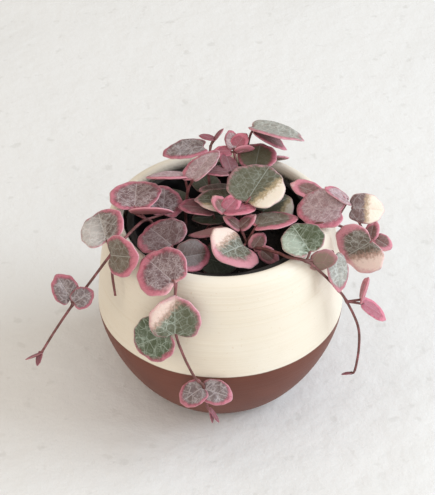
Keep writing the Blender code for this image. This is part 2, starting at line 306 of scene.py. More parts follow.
def glazeMaterial():
    look = potGlaze
    sheet = NodeSheet("two_tone_glaze")
    spot = sheet.place()
    x, y, z = sheet.split(spot)
    radius = (x * x + y * y) ** 0.5
    wave = sheet.noise(spot, 55, 2) - 0.5
    line = z * 1000 + wave * look["borderWave"] * 2
    upper = sheet.step(look["border"] - look["borderSoft"], look["border"] + look["borderSoft"], line)
    # the tool's marks run round the pot, so the pattern is stretched along them
    rings = sheet.noise(sheet.join(x * 3, y * 3, z * 900), 1, 3, 0.65)
    fineRings = sheet.noise(sheet.join(x * 9, y * 9, z * 2600), 1, 2, 0.6)
    cloud = sheet.noise(spot, 26, 3)
    cream = sheet.blend(look["cream"], look["creamDeep"], sheet.step(0.48, 0.78, rings) * 0.45)
    cream = sheet.blend(cream, look["creamPale"], sheet.step(0.5, 0.75, cloud) * 0.6)
    specks = sheet.step(0.70, 0.76, sheet.noise(spot, 950, 1))
    cream = sheet.blend(cream, look["creamDeep"], specks * 0.5)
    brown = sheet.blend(look["brown"], look["brownDeep"], sheet.step(0.45, 0.75, cloud) * 0.6)
    brown = sheet.blend(brown, look["brownPale"], sheet.step(0.55, 0.8, rings) * 0.3)
    colour = sheet.blend(brown, cream, upper)
    foot = sheet.step(1.4, 0.7, z * 1000 + wave * 0.8) * sheet.step(0.0273, 0.0268, radius)
    colour = sheet.blend(colour, look["clay"], foot)
    # glaze gathers a little above its border; the lip's top is painted paler, a painted highlight along the
    # crest
    rim = sheet.step(0.0812, 0.0828, z)
    colour = sheet.blend(colour, look["creamPale"], rim * 0.35)
    roughness = 0.40 + fineRings * 0.14 + foot * 0.4 + (1 - upper) * 0.08
    height = rings * 0.9 * upper + fineRings * 0.35 + upper * 0.9 + cloud * 0.5
    return sheet.finish(colour, roughness, height, 0.00022, Coat_Weight=0.04, Coat_Roughness=0.3,
                        Specular_IOR_Level=0.30)


pot = turnOnWheel("ceramicPot", potProfile(), potForm["sides"])
makeActive(pot)
bpy.ops.object.shade_smooth_by_angle(angle=radians(40))
pot.data.materials.append(glazeMaterial())
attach(pot, "root")
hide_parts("pot")
print("pot turned")


# The plastic pot inside.

linerForm = {
    "base": 6.3, "baseRadius": 26.0, "topRadius": 35.4, "rimRadius": 37.2, "top": 80.0,
    "rimDepth": 5.0, "wall": 1.2, "drains": 5, "drainRing": 15.0, "drainRadius": 2.5,
    "sides": 96, "black": srgb(15, 15, 16), "dusty": srgb(32, 30, 28),
}


def linerRadius(height):
    form = linerForm
    share = (height - form["base"]) / (form["top"] - form["base"])
    return form["baseRadius"] + (form["topRadius"] - form["baseRadius"]) * share


def linerProfile():
    form = linerForm
    top, base, wall = form["top"], form["base"], form["wall"]
    rimLow = top - form["rimDepth"]
    profile = [(form["baseRadius"] - 1.2, base), (form["baseRadius"] - 0.3, base + 0.3),
               (linerRadius(base + 1), base + 1)]
    for number in range(1, 9):
        height = base + 1 + (rimLow - base - 1) * number / 8
        profile.append((linerRadius(height), height))
    profile += [(form["rimRadius"] - 0.25, rimLow), (form["rimRadius"], rimLow + 0.25),
                (form["rimRadius"], top - 0.7), (form["rimRadius"] - 0.3, top - 0.25),
                (form["rimRadius"] - 0.9, top), (form["topRadius"] - 0.4, top),
                (form["topRadius"] - wall + 0.1, top - 0.3), (form["topRadius"] - wall, top - 1)]
    for number in range(1, 10):
        height = top - 1 + (base + wall + 0.6 - top + 1) * number / 9
        profile.append((linerRadius(height) - wall, height))
    profile.append((linerRadius(base) - wall - 0.8, base + wall))
    return profile


def plasticMaterial():
    look = linerForm
    sheet = NodeSheet("black_plastic")
    spot = sheet.place()
    dust = sheet.step(0.5, 0.75, sheet.noise(spot, 120, 4, 0.6))
    grain = sheet.noise(spot, 1800, 2)
    colour = sheet.blend(look["black"], look["dusty"], dust * 0.7)
    return sheet.finish(colour, 0.42 + dust * 0.3, grain, 0.00006)


liner = turnOnWheel("plasticLiner", linerProfile(), linerForm["sides"])
for number in range(linerForm["drains"]):
    turn = 2 * pi * number / linerForm["drains"]
    deselectAll()
    bpy.ops.mesh.primitive_cylinder_add(
        vertices=24, radius=linerForm["drainRadius"] * mm, depth=6 * mm,
        location=(linerForm["drainRing"] * cos(turn) * mm, linerForm["drainRing"] * sin(turn) * mm,
                  (linerForm["base"] + 0.6) * mm))
    drill = newest("drainDrill")
    hole = liner.modifiers.new("drain", 'BOOLEAN')
    hole.operation = 'DIFFERENCE'
    hole.object = drill
    applyAll(liner)
    bpy.data.objects.remove(drill, do_unlink=True)
makeActive(liner)
bpy.ops.object.shade_smooth_by_angle(angle=radians(35))
liner.data.materials.append(plasticMaterial())
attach(liner, "root")
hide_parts("nursery_pot")
print("liner turned")


# The potting mix.

mixForm = {
    "top": 67.0, "gap": 1.8, "bottom": 8.1, "sides": 96, "rings": 30, "lump": 1.1, "crumb": 0.5,
    "crumbs": 260, "crumbSize": (0.5, 1.5), "seed": 12,
    "dark": srgb(20, 16, 13), "earth": srgb(40, 31, 25), "fibre": srgb(66, 52, 40),
    "grit": srgb(112, 104, 94),
}


def mixMaterial():
    look = mixForm
    sheet = NodeSheet("potting_mix")
    spot = sheet.place()
    lumps = sheet.noise(spot, 260, 5, 0.65)
    fibres = sheet.noise(sheet.place((1, 4, 1)), 420, 3, 0.7)
    grit = sheet.step(0.73, 0.77, sheet.noise(spot, 640, 1))
    colour = sheet.blend(look["dark"], look["earth"], sheet.step(0.35, 0.7, lumps))
    colour = sheet.blend(colour, look["fibre"], sheet.step(0.6, 0.75, fibres) * 0.5)
    colour = sheet.blend(colour, look["grit"], grit * 0.6)
    return sheet.finish(colour, 0.85 + lumps * 0.1, lumps + fibres * 0.4, 0.0006)


def mixSurface(x, y):
    spot = Vector((x, y, 0.0))
    rise = noise.fractal(spot * 0.11, 1.0, 2.1, 2) * mixForm["lump"]
    return rise + noise.fractal(spot * 0.7 + Vector((9, 4, 2)), 0.8, 2.0, 3) * mixForm["crumb"]


def buildMix():
    form = mixForm
    edge = linerRadius(form["top"]) - form["gap"]
    foot = linerRadius(form["bottom"]) - form["gap"]
    profile = [(foot - 0.5, form["bottom"]), (foot, form["bottom"] + 0.5)]
    sideHeight = form["top"] - 2 - form["bottom"]
    profile += [(foot + (edge - foot) * step / 4, form["bottom"] + sideHeight * step / 4)
                for step in range(1, 5)]
    profile += [(edge * (form["rings"] - ring + 0.2) / form["rings"], form["top"])
                for ring in range(form["rings"])]
    soil = turnOnWheel("pottingSoil", profile, form["sides"])
    for point in soil.data.vertices:
        x, y, z = point.co / mm
        if z > form["top"] - 0.5:
            fade = min(1.0, (edge - hypot(x, y)) / 2 + 0.3)
            point.co.z = (form["top"] + mixSurface(x, y) * fade) * mm
    rng = random.Random(form["seed"])
    deselectAll()
    bpy.ops.mesh.primitive_ico_sphere_add(subdivisions=2, radius=1)
    crumb = newest("crumb")
    grains = []
    for number in range(form["crumbs"]):
        away, turn = edge * 0.96 * rng.random() ** 0.5, rng.random() * 2 * pi
        size = rng.uniform(*form["crumbSize"]) * (0.6 + 0.4 * rng.random())
        x, y = away * cos(turn), away * sin(turn)
        grain = crumb.copy()
        grain.data = crumb.data.copy()
        bpy.context.scene.collection.objects.link(grain)
        tilt = Matrix.Rotation(rng.random() * pi, 4, 'Z') @ Matrix.Rotation(rng.random() * pi, 4, 'X')
        shape = Vector((size, size * rng.uniform(0.5, 0.9), size * rng.uniform(0.4, 0.8)))
        middle = Vector((x, y, form["top"] + mixSurface(x, y) + size * 0.15))
        shift = Vector((number, number * 2.0, 0.0))
        for point in grain.data.vertices:
            dent = 1 + 0.35 * noise.noise(point.co * 1.3 + shift)
            point.co = (middle + tilt @ (point.co * shape * dent)) * mm
        grains.append(grain)
    bpy.data.objects.remove(crumb, do_unlink=True)
    joinInto(soil, grains)
    return soil


soil = buildMix()
makeActive(soil)
bpy.ops.object.shade_smooth_by_angle(angle=radians(60))
soil.data.materials.append(mixMaterial())
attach(soil, "root")
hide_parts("soil")
print("potting mix filled")


# Leaves: form and colours.

leafForm = {
    "thickness": 1.7, "notchDepth": 0.36, "notchSpread": 0.42, "tipLength": 0.10, "tipSpread": 0.30,
    "fold": 13.0, "cuts": 15, "smallCuts": 9, "small": 9.0, "belly": 2.6, "arch": 0.0065, "droop": 0.0022,
    "groove": 0.13, "grooveWidth": 0.5, "underGroove": 1.6, "foldSoft": 0.3, "shoulder": 0.92,
    "wave": 0.03, "waveCounts": (2, 3, 5), "scallop": 0.014, "scallopCounts": (4, 7, 11),
    "pucker": 0.5, "puckerSpacing": 0.33, "puckerFull": 9.0, "thickFull": 6.0,
    "petioleGrip": 0.3, "petioleSink": 0.25, "shortPetiole": 1.0, "seed": 1000,
}

# The pattern's scales are per millimetre of leaf.
leafScales = {
    "drift": 0.45, "driftReach": 1.8, "sideVeins": 0.22, "veinLean": 0.75, "veinWander": 0.6,
    "wideNet": 0.30, "breaks": 0.6, "fineNet": 0.85, "patches": 0.33, "specks": 2.0, "grain": 2.6,
    "ragged": 0.8, "marginDrift": 0.22, "blotches": 0.55, "bumps": 0.9, "seedSpread": 37,
}

# How each kind of leaf is coloured, from 0 to 1: green against mauve, the silver marbling and how
# much more of it one half has, which is partly painted light (the half a fold turns to the lamp is
# painted paler), the pink margin's width and its pull to one side, the cream sector's share and
# warmth, the pink blush, the painted shade that darkens leaves deep in the crown (partly their own
# darker tone), and how puckered the blade is.
lookNames = ("green", "silver", "half", "rim", "pull", "cream", "warm", "blush", "paintedShade", "pucker")
leafLooks = {
    "rosy": (0.10, 0.95, 0.0, 0.24, 0.3, 0.0, 0.0, 0.10, 0.0, 0.2),
    "wide": (0.05, 0.90, 0.0, 0.27, 0.4, 0.10, 0.0, 0.08, 0.10, 0.2),
    "mauve": (0.08, 0.70, 0.0, 0.17, 0.5, 0.0, 0.0, 0.10, 0.40, 0.2),
    "dusk": (0.35, 0.25, 0.0, 0.22, 0.9, 0.0, 0.0, 0.10, 0.50, 0.2),
    "silver": (0.40, 1.15, 0.35, 0.15, 0.9, 0.0, 0.0, 0.06, 0.0, 0.3),
    "misty": (0.65, 1.25, 0.0, 0.14, 0.9, 0.0, 0.2, 0.08, 0.12, 0.1),
    "sage": (0.75, 0.45, 0.0, 0.27, 0.5, 0.0, 0.0, 0.14, 0.0, 0.1),
    "green": (1.0, 0.80, 0.0, 0.12, 0.9, 0.0, 0.0, 0.0, 0.20, 0.3),
    "mint": (0.95, 0.95, 0.6, 0.04, 0.5, 0.0, 0.0, 0.0, 0.0, 0.2),
    "halved": (0.95, 0.75, 0.5, 0.15, 0.5, 0.26, 0.35, 0.05, 0.06, 0.3),
    "ivory": (0.90, 0.38, 0.0, 0.07, 0.9, 0.26, 0.9, 0.08, 0.14, 0.1),
    "pearl": (0.30, 0.60, 0.0, 0.05, 0.5, 0.42, 0.8, 0.12, 0.0, 0.2),
    "tan": (0.60, 0.35, 0.0, 0.12, 0.5, 0.34, 0.6, 0.15, 0.22, 0.1),
    "blotched": (0.75, 0.85, 0.0, 0.27, 0.9, 0.28, 0.45, 0.05, 0.03, 0.2),
    "patchwork": (0.65, 0.65, -0.5, 0.20, 0.8, 0.32, 0.35, 0.10, 0.0, 0.2),
    "crinkled": (0.15, 1.10, 0.0, 0.22, 0.4, 0.0, 0.0, 0.05, 0.30, 1.0),
    "pink": (0.10, 0.30, 0.0, 0.35, 0.5, 0.0, 0.0, 0.76, 0.0, 0.1),
    "lilac": (0.10, 1.22, 0.0, 0.20, 0.6, 0.0, 0.0, 0.28, 0.04, 0.2),
    "young": (0.70, 0.30, 0.0, 0.38, 0.4, 0.10, 0.3, 0.34, 0.08, 0.3),
    "olive": (1.0, 0.12, 0.0, 0.20, 0.4, 0.0, 0.0, 0.12, 0.42, 0.1),
    "edged": (0.90, 0.05, 0.0, 0.05, 0.5, 0.22, 1.0, 0.05, 0.66, 0.1),
    # dark: mostly painted shade, for low leaves deep in the crown
    "dark": (0.85, 0.25, 0.0, 0.04, 0.5, 0.0, 0.0, 0.0, 0.62, 0.2),
    "brown": (0.25, 0.30, 0.0, 0.16, 0.7, 0.0, 0.0, 0.42, 0.26, 0.2),
    "bud": (0.10, 0.05, 0.0, 0.10, 0.5, 0.0, 0.0, 0.60, 0.25, 0.1),
}

leafColours = {
    "mauveCell": srgb(92, 66, 69), "mauveSilver": srgb(218, 206, 210),
    "greenCell": srgb(74, 86, 58), "greenSilver": srgb(192, 206, 192),
    "blush": srgb(192, 102, 122), "pinkDeep": srgb(152, 66, 86), "pinkSoft": srgb(206, 122, 140),
    "paleEdgeAndHighlight": srgb(236, 200, 202), "cream": srgb(242, 230, 212), "creamPink": srgb(236, 206, 200),
    "tan": srgb(196, 172, 130), "rose": srgb(198, 150, 152),
    "under": srgb(148, 106, 104), "underGreen": srgb(128, 120, 92), "underVein": srgb(178, 140, 134),
    # near-black tone that painted shade darkens towards
    "paintedShadeTone": srgb(30, 25, 21),
}


def leafMaterial():
    tint, scale = leafColours, leafScales
    sheet = NodeSheet("heart_leaf")
    along, across, seed = sheet.split(sheet.attribute("leafPattern"))
    rimField, creamField, upper = sheet.split(sheet.attribute("leafZones"))
    green, silver, blush = sheet.split(sheet.attribute("leafTone"))
    paintedShade, edge, warm = sheet.split(sheet.attribute("leafShade"))

    spot = sheet.join(along, across, seed * scale["seedSpread"])
    drift = sheet.vector('SUBTRACT', sheet.noise(spot, scale["drift"], 2, output="Color"), (0.5, 0.5, 0.5))
    bent = sheet.vector('ADD', spot, sheet.stretch(drift, scale["driftReach"]))
    sway = sheet.split(bent)[0] - along

    # side veins leave the midrib forwards, and a wide and a fine net lie between them
    lateral = along - across.size() * scale["veinLean"] + sway * scale["veinWander"]
    lateral = lateral * scale["sideVeins"] + seed
    lateralLine = sheet.step(0.075, 0.01, (lateral.part() - 0.5).size())
    broken = sheet.step(0.32, 0.58, sheet.noise(spot, scale["breaks"], 2))
    wideLine = sheet.step(0.10, 0.0, sheet.net(bent, scale["wideNet"])) * (0.35 + broken * 0.65)
    fineLine = sheet.step(0.16, 0.0, sheet.net(bent, scale["fineNet"]))
    midrib = sheet.step(0.34, 0.05, across.size() + sway.size() * 0.12)
    patch = sheet.step(0.34, 0.66, sheet.noise(spot, scale["patches"], 3, 0.6))
    speck = sheet.step(0.49, 0.63, sheet.noise(bent, scale["specks"], 4, 0.75))
    grain = sheet.noise(spot, scale["grain"], 3, 0.65)
    speckled = 1 - green * 0.55  # green leaves have lines more than flecks
    marble = (wideLine * (0.50 + green * 0.15)).highest(lateralLine * 0.42)
    marble = marble.highest(fineLine * (0.06 + patch * 0.24) * speckled)
    marble = marble.highest(speck * (0.10 + patch * 0.80) * speckled) + patch * 0.14
    wash = sheet.step(0.95, 1.55, silver) * 0.7
    marble = (marble * silver * (1 - wash) + wash).highest(midrib * (0.22 + silver * 0.5))

    cell = sheet.blend(tint["mauveCell"], tint["greenCell"], green)
    pale = sheet.blend(tint["mauveSilver"], tint["greenSilver"], green)
    flesh = sheet.blend(cell, pale, marble)
    flesh = sheet.blend(flesh, tint["blush"], blush * (0.5 + 0.5 * sheet.step(0.3, 0.7, grain)))
    # painted shade: the flesh is darkened towards a near-black tone, partly the leaf's own darker tone
    flesh = sheet.blend(flesh, tint["paintedShadeTone"], paintedShade * 0.8)

    # a margin or a cream sector sets in unevenly, over a band of mixed tissue
    ragged = sheet.noise(spot, scale["ragged"], 4, 0.65) - 0.5
    creamBand = creamField + ragged * 0.6
    between = sheet.blend(tint["rose"], tint["tan"], warm)
    # the mixed band is dimmed on leaves in painted shade
    flesh = sheet.blend(flesh, between, sheet.step(-0.28, 0.02, creamBand) * (1 - paintedShade * 0.5) * 0.8)
    creamTone = sheet.blend(tint["creamPink"], tint["cream"], warm + (grain - 0.5) * 0.8)
    # painted shade on the cream sector
    creamTone = sheet.blend(creamTone, tint["paintedShadeTone"], paintedShade * 0.6)
    creamMask = sheet.step(-0.08, 0.16, creamBand)
    flesh = sheet.blend(flesh, creamTone, creamMask * 0.94)
    marginDrift = sheet.noise(spot, scale["marginDrift"], 1) - 0.5
    rimBand = rimField + ragged * 0.30 + marginDrift * 0.22
    rimMask = sheet.step(-0.06, 0.15, rimBand)
    blotch = sheet.noise(spot, scale["blotches"], 3, 0.6) - 0.5
    rimTone = sheet.blend(tint["pinkDeep"], tint["pinkSoft"], sheet.step(-0.03, 0.26, rimBand + blotch * 0.5))
    rimTone = sheet.blend(rimTone, tint["paleEdgeAndHighlight"], warm * 0.45)
    rimTone = sheet.blend(rimTone, tint["creamPink"], creamMask * (0.3 + warm * 0.4))
    # painted shade on the pink margin
    rimTone = sheet.blend(rimTone, tint["paintedShadeTone"], paintedShade * 0.5)
    flesh = sheet.blend(flesh, rimTone, rimMask * 0.9)
    # painted highlight on the rounded edge, partly its paler tone: the outermost band is painted pale, less
    # on leaves in painted shade
    flesh = sheet.blend(flesh, tint["paleEdgeAndHighlight"], sheet.step(0.95, 1.0, edge) * 0.5 * (1 - paintedShade))

    under = sheet.blend(tint["under"], tint["underGreen"], green * sheet.step(0.3, 0.6, grain) * 0.8)
    under = sheet.blend(under, tint["underVein"], (lateralLine * 0.5).highest(midrib * 0.6) * 0.6)
    under = sheet.blend(under, tint["pinkSoft"], rimMask * 0.4 + blush * 0.3)
    under = sheet.blend(under, creamTone, creamMask * 0.6)
    # painted shade on the underside
    under = sheet.blend(under, tint["paintedShadeTone"], paintedShade * 0.6)
    colour = sheet.blend(under, flesh, sheet.step(-0.3, 0.3, upper))

    height = marble * -0.4 + midrib * -0.5 + grain * 0.35
    height = height + sheet.noise(spot, scale["bumps"], 2) * 0.8
    roughness = 0.42 + grain * 0.14 + marble * 0.05
    return sheet.finish(colour, roughness, height, 0.00016, Specular_IOR_Level=0.40,
                        Subsurface_Weight=0.08, Subsurface_Scale=0.0010,
                        Subsurface_Radius=(1.0, 0.45, 0.35))


def stemMaterial():
    sheet = NodeSheet("vine_stem")
    spot = sheet.place()
    mottle = sheet.noise(spot, 300, 3, 0.6)
    streak = sheet.noise(sheet.place((1, 1, 0.2)), 900, 2)
    colour = sheet.blend(srgb(104, 66, 62), srgb(150, 92, 96), sheet.step(0.4, 0.7, mottle))
    colour = sheet.blend(colour, srgb(84, 66, 54), sheet.step(0.5, 0.75, streak) * 0.5)
    return sheet.finish(colour, 0.5, mottle + streak * 0.5, 0.00008, Specular_IOR_Level=0.35)


leafSkin = leafMaterial()
stemSkin = stemMaterial()


def heartReach(angle, share):
    # How far the heart's edge stands from the leaf's middle; inside the leaf its notch fades away.
    form = leafForm
    notch = form["notchDepth"] * exp(-((pi - abs(angle)) / form["notchSpread"]) ** 2)
    point = form["tipLength"] * exp(-(angle / form["tipSpread"]) ** 2)
    return 1.0 + share ** 2 * (point - notch)


def leafBlank(name, cuts):
    # a cube cut fine and drawn to a ball: a closed skin with a line of edges down its middle
    deselectAll()
    bpy.ops.mesh.primitive_cube_add(size=2)
    blank = newest(name)
    bpy.ops.object.mode_set(mode='EDIT')
    bpy.ops.mesh.select_all(action='SELECT')
    bpy.ops.mesh.subdivide(number_cuts=cuts)
    bpy.ops.transform.tosphere(value=1)
    bpy.ops.object.mode_set(mode='OBJECT')
    bpy.ops.object.shade_smooth()
    return blank


blanks = {
    False: leafBlank("leafBlank", leafForm["cuts"]),
    True: leafBlank("smallBlank", leafForm["smallCuts"]),
}


def leafFrame(notch, heading, rise, roll):
    turn = Matrix.Rotation(radians(heading), 4, 'Z') @ Matrix.Rotation(radians(-rise), 4, 'Y')
    return Matrix.Translation(Vector(notch)) @ turn @ Matrix.Rotation(radians(roll), 4, 'X')


def shapeLeaf(name, row, number):
    _, notch, heading, rise, roll, length, width, lookName, rimSide, *rest = row
    creamSide = rest[0] if rest else rimSide
    form, look = leafForm, dict(zip(lookNames, leafLooks[lookName]))
    rng = random.Random(form["seed"] + number)
    blank = blanks[length < form["small"]]
    blade = blank.copy()
    blade.data = blank.data.copy()
    blade.name = name
    bpy.context.scene.collection.objects.link(blade)
    halfLength = length / (2.0 - form["notchDepth"] + form["tipLength"])
    middle = halfLength * (1.0 - form["notchDepth"])
    thick = form["thickness"] * min(1.0, width / form["thickFull"])
    fold, soft = sin(radians(form["fold"])), form["foldSoft"]
    waves = [(rng.choice(form["waveCounts"]), rng.random() * 2 * pi) for _ in range(2)]
    scallops = [(count, rng.random() * 2 * pi) for count in form["scallopCounts"]]
    frameOfLeaf = leafFrame(notch, heading, rise, roll)
    seed = rng.random()
    pattern, zones, tone, shadeRow = [], [], [], []
    for point in blade.data.vertices:
        ball = point.co.normalized()
        side = 1.0 if ball.z >= 0 else -1.0
        share = (acos(max(-1.0, min(1.0, abs(ball.z)))) / (pi / 2)) ** form["shoulder"]
        angle = atan2(ball.y, ball.x)
        reach = heartReach(angle, share) * share
        for count, phase in scallops:
            reach *= 1 + form["scallop"] * share ** 2 * sin(count * angle + phase)
        along = middle + halfLength * reach * cos(angle)
        across = width / 2 * reach * sin(angle)
        bulge = thick / 2 * max(0.0, 1 - share ** form["belly"]) ** 0.5
        crease = form["groove"] * exp(-(across / form["grooveWidth"]) ** 2) * (1 - share)
        if side < 0:
            crease *= form["underGroove"]
        lift = fold * ((across ** 2 + soft) ** 0.5 - soft ** 0.5)
        lift -= form["arch"] * across ** 2 + form["droop"] * max(0.0, along) ** 2
        for count, phase in waves:
            lift += form["wave"] * width / 2 * share ** 3 * sin(count * angle + phase) / 2
        spacing = form["puckerSpacing"]
        pucker = noise.noise(Vector((along * spacing, across * spacing, seed * 50)))
        lift += form["pucker"] * look["pucker"] * pucker * min(1.0, width / form["puckerFull"])
        point.co = (frameOfLeaf @ Vector((along, across, side * bulge - crease + lift))) * mm
        rimWidth = look["rim"] * (1 + look["pull"] * cos(angle - radians(rimSide)))
        sector = share * cos(angle - radians(creamSide)) - (1 - 2 * look["cream"])
        pattern.append((along, across, seed))
        zones.append((share - (1 - rimWidth), sector if look["cream"] else -1.0, side))
        # partly painted light: one half gets more silver, standing in for the half that the fold turns to the
        # lamp, partly uneven marbling
        silver = look["silver"] * (1 + look["half"] * sin(angle) * min(1, share * 3))
        tone.append((look["green"], silver, look["blush"]))
        # each point carries the leaf's painted shade, its edge share and warmth
        shadeRow.append((look["paintedShade"], share, look["warm"]))
    for title, rows in (("leafPattern", pattern), ("leafZones", zones),
                        ("leafTone", tone), ("leafShade", shadeRow)):
        layer = blade.data.attributes.new(title, 'FLOAT_VECTOR', 'POINT')
        layer.data.foreach_set("vector", [value for triple in rows for value in triple])
    blade.data.materials.append(leafSkin)
    return blade


# Stems.

stemForm = {"stem": 0.65, "shoot": 0.6, "petiole": 0.48, "step": 0.8, "knuckle": 0.35, "taper": 0.22,
            "depth": 11.0, "nearTop": 3.0, "aboveTop": 2.0, "knuckleLength": 0.9}


def drawStem(name, points, thickness, knuckles, taper):
    route, marks = smoothRoute(points, stemForm["step"])
    swellings = [marks[mark] for mark in knuckles if mark < len(marks)]
    curve = bpy.data.curves.new(name, 'CURVE')
    curve.dimensions = '3D'
    curve.bevel_depth = thickness * mm
    curve.bevel_resolution = 2
    curve.use_fill_caps = True
    line = curve.splines.new('POLY')
    line.points.add(len(route) - 1)
    for number, (point, place) in enumerate(zip(line.points, route)):
        point.co = (*(place * mm), 1.0)
        swell = sum(exp(-((number - mark) * stemForm["step"] / stemForm["knuckleLength"]) ** 2)
                    for mark in swellings)
        point.radius = (1 - taper * number / len(route)) * (1 + stemForm["knuckle"] * min(1.0, swell))
    drawn = bpy.data.objects.new(name, curve)
    bpy.context.scene.collection.objects.link(drawn)
    makeActive(drawn)
    bpy.ops.object.convert(target='MESH')
    drawn = newest(name)
    bpy.ops.object.mode_set(mode='EDIT')
    bpy.ops.mesh.select_all(action='SELECT')
    bpy.ops.mesh.remove_doubles(threshold=0.000004)
    bpy.ops.mesh.normals_make_consistent(inside=False)
    bpy.ops.object.mode_set(mode='OBJECT')
    bpy.ops.object.shade_smooth()
    drawn.data.materials.append(stemSkin)
    return drawn


def petiolePoints(start, row):
    frameOfLeaf = leafFrame(*row[1:5])
    form = leafForm
    grip = form["petioleGrip"] * row[5] / (2.0 - form["notchDepth"] + form["tipLength"])
    notch, inside = frameOfLeaf.translation.copy(), frameOfLeaf @ Vector((grip, 0, -form["petioleSink"]))
    return [start, inside] if (notch - start).length < form["shortPetiole"] else [start, notch, inside]


leafCount = 0


def growVine(name, node, plan):
    global leafCount
    x, y = plan["root"]
    top = mixForm["top"]
    heights = (top - stemForm["depth"], top - stemForm["nearTop"], top + stemForm["aboveTop"])
    buried = [Vector((x, y, height)) for height in heights]
    stemPoints = [Vector(point) for point in plan["stem"]]
    knuckles = sorted({row[0] + len(buried) for row in plan["leaves"]})
    vine = drawStem(name, buried + stemPoints, stemForm["stem"], knuckles, stemForm["taper"])
    grown = []
    sets = [(stemPoints, plan["leaves"])]
    if plan.get("shoot"):
        shootPoints = [Vector(point) for point in plan["shoot"]]
        shootLeaves = plan.get("shootLeaves", [])
        grown.append(drawStem(name + "Shoot", shootPoints, stemForm["shoot"],
                              sorted({row[0] for row in shootLeaves}), stemForm["taper"]))
        sets.append((shootPoints, shootLeaves))
    for points, rows in sets:
        for row in rows:
            leafCount += 1
            grown.append(drawStem(f"{name}Petiole{leafCount}", petiolePoints(points[row[0]], row),
                                  stemForm["petiole"], [], 0.0))
            grown.append(shapeLeaf(f"{name}Leaf{leafCount}", row, leafCount))
    joinInto(vine, grown)
    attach(vine, "root")
    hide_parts(node)
    return vine


# A stem leaves the mix at its root and passes its points. A leaf is: the stem point its petiole
# leaves, the notch, the heading and rise of its midrib, the roll about it, its length and width,
# its look, and the side, in degrees from its tip, that its margin or cream sector lies on. Up to
# the width a row says what the part's source says, so both change together.

leftTrail = {
    "root": (-24, -2),
    "stem": [(-25, -2, 74), (-29, -5, 83), (-37, -19, 84.4), (-41.5, -24, 81.5), (-51, -28, 69),
             (-57, -33, 63), (-64, -38, 54), (-69.5, -42, 46)],
    "leaves": [
        (1, (-33.5, -2, 86.5), 90, 2, -5, 18, 20.5, "rosy", 60),
        (1, (-23, 3, 79.5), 88, 10, 15, 16, 16, "rosy", -90),
        (1, (-34, -8, 89), 0, 3, -42, 16, 11, "pink", 0),
        (3, (-43.5, -21, 85), 105, 7, -24, 17, 18.5, "silver", -90),
        (3, (-41.5, -27, 83), -35, 20, 70, 14, 16.5, "sage", 0),
        (5, (-57.5, -33, 66), 135, 45, -30, 11, 10.5, "crinkled", 0),
        (5, (-56, -35, 66), 25, 20, 45, 8.5, 8.5, "crinkled", -60),
        (7, (-69.5, -42, 46), 190, -20, 30, 7, 3, "bud", 0),
        (7, (-69.5, -42, 46), 215, -65, 0, 6, 3.5, "bud", 0),
    ],
    "shoot": [(-41.5, -24, 81.5), (-41.5, -28, 74), (-40.5, -31, 66)],
}

frontTrail = {
    "root": (-10, -14),
    "stem": [(-11.5, -15.5, 74), (-18, -26, 83), (-17.5, -38, 85), (-16.5, -44, 83.5), (-17, -46, 77),
             (-17, -49, 64), (-14, -51, 53), (-9.5, -53, 43), (-6.5, -54, 40), (-5, -54, 29),
             (-4, -54, 27.5)],
    "leaves": [
        (1, (-18.5, -26, 86.5), 128, 0, -14, 16, 20, "mauve", 60),
        (1, (-15.5, -31, 84.8), 30, -12, 50, 14, 12.5, "dusk", -70),
        (4, (-17, -45.5, 84.5), 131, 6, -30, 18, 20.5, "wide", 40, 165),
        (5, (-17, -50.5, 64), 90, 78, 0, 16, 20, "halved", -30, 50),
        (5, (-19.5, -50, 63.5), 165, -35, -65, 17, 18, "green", 90),
        (8, (-6.8, -54, 39), -160, -28, -27, 10.5, 10.5, "crinkled", 0),
        (8, (-6, -54, 38.5), -15, -10, 40, 11.5, 10, "crinkled", -40),
        (10, (-4, -54, 27.5), 0, -62, 20, 8, 2.5, "bud", 0),
        (10, (-4, -54, 27.5), -10, -80, 20, 7.5, 2.5, "bud", 0),
    ],
}

rightTrail = {
    "root": (14, -12),
    "stem": [(14, -15.5, 77), (21.5, -23, 81), (25.5, -30, 84.5), (32.3, -32.5, 84.5), (38.3, -30, 77),
             (45, -29, 68), (49, -29, 61.5), (54, -29, 49), (55, -29.5, 38), (54, -30, 26),
             (52.5, -30, 24.5)],
    "leaves": [
        (0, (12.7, -15, 76.5), 40, 40, 20, 7.5, 7, "young", 90),
        (0, (16, -17, 77.5), -25, -30, 60, 8.5, 6.5, "young", 0),
        (3, (33.8, -30, 87), 112, 3, -15, 17, 16.5, "mint", 150),
        (3, (35, -31, 82.5), 15, 0, -92, 10, 10, "olive", 0),
        (6, (55, -27, 61), 0, 80, 0, 11, 8, "pink", 0),
        (6, (55.5, -27, 58.5), 10, -42, 20, 14, 8, "pink", 60),
        (10, (52.5, -30, 24.5), 180, -10, 20, 4, 2.5, "bud", 0),
    ],
    "shoot": [(32.3, -32.5, 84.5), (38, -28.5, 83), (43, -23, 81.5)],
    "shootLeaves": [
        (2, (43.6, -24, 80), -75, -50, -20, 14, 10, "misty", 0),
    ],
}

